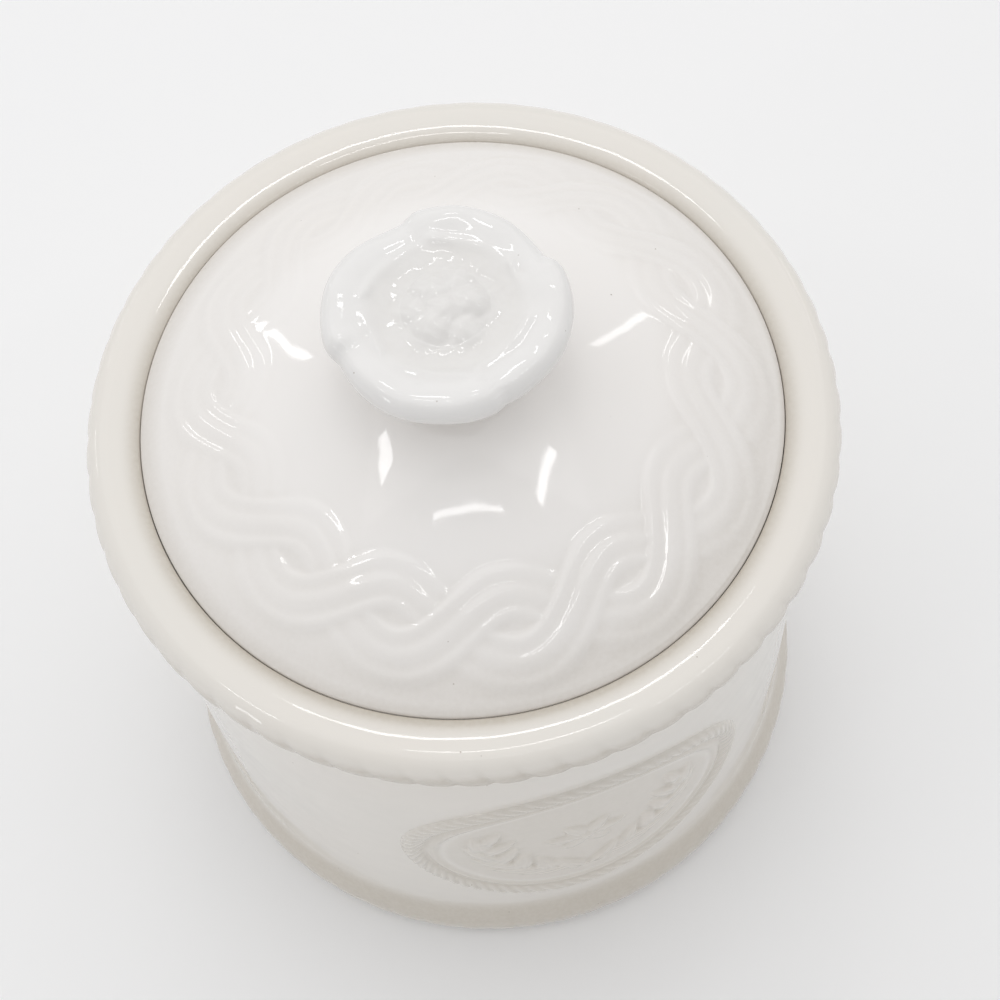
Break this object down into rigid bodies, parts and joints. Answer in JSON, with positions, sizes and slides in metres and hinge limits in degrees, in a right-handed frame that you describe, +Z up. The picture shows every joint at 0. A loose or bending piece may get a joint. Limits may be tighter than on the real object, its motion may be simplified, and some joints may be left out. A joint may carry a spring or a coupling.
{
  "type": "lidded sugar canister",
  "caption": "Round glazed stoneware sugar canister with a rope-twist rim and foot, an oval cartouche and a domed lift-off lid with a rosette knob.",
  "frame": {"origin": "centre of the foot, on the surface that the canister stands on", "axes": "+Z up, along the axis that the jar, the lid and the knob share; -Y is the front and the cartouche faces 13 degrees to its right"},
  "size_m": [0.165, 0.165, 0.1924],
  "materials": {
    "body_glaze": "gloss glaze, warm cream, browner where it pools in the grooves",
    "lid_glaze": "gloss glaze, off-white, beige where it pools between the strands",
    "knob_glaze": "gloss glaze, off-white"
  },
  "bodies": {
    "jar": {"canister_body": "body_glaze"},
    "lid": {"lid": "lid_glaze", "rosette_knob": "knob_glaze"}
  },
  "joints": [
    {"name": "lid_lift", "type": "slide", "parent": "jar", "child": "lid", "axis": [0, 0, 1], "range_m": [0, 0.12]}
  ]
}
